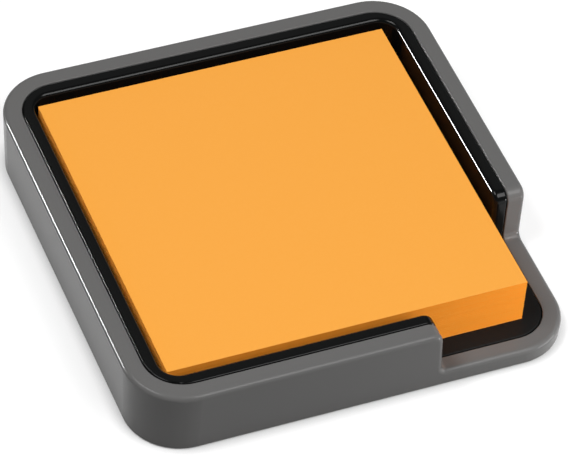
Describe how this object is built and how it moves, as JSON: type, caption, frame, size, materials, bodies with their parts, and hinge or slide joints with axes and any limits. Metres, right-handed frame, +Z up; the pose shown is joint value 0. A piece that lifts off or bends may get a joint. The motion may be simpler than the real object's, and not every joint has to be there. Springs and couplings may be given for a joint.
{
  "type": "sticky note holder",
  "caption": "Low square desk tray for a pad of sticky notes, with a grey shell, a black liner, rubber feet and a front corner cut low so that fingers reach the notes.",
  "frame": {"origin": "on the desk, under the middle of the tray", "axes": "+Z up, +X to the right along the front wall, +Y to the back; the low corner is at +X, -Y"},
  "size_m": [0.0938, 0.0938, 0.0156],
  "materials": {
    "grey_plastic": "satin moulded, fine grain",
    "black_plastic": "gloss moulded",
    "foot_rubber": "matte",
    "note_paper": "uncoated, bright orange",
    "backing_paper": "release coated"
  },
  "bodies": {
    "holder": {"outer_shell": "grey_plastic", "inner_liner": "black_plastic", "foot_front_left": "foot_rubber", "foot_front_right": "foot_rubber", "foot_back_left": "foot_rubber", "foot_back_right": "foot_rubber"},
    "note_pad": {"backing_sheet": "backing_paper", "note_stack": "note_paper", "top_note_glued_edge": "note_paper"},
    "top_note": {"top_note_leaf": "note_paper"}
  },
  "joints": [
    {"name": "note_pad_lift", "type": "slide", "parent": "holder", "child": "note_pad", "axis": [0, 0, 1], "range_m": [0, 0.03]},
    {"name": "top_note_peel", "type": "hinge", "parent": "note_pad", "child": "top_note", "pos_m": [-0.00076, 0.02219, 0.0146], "axis": [-1, 0, 0], "range_deg": [0, 120]}
  ]
}
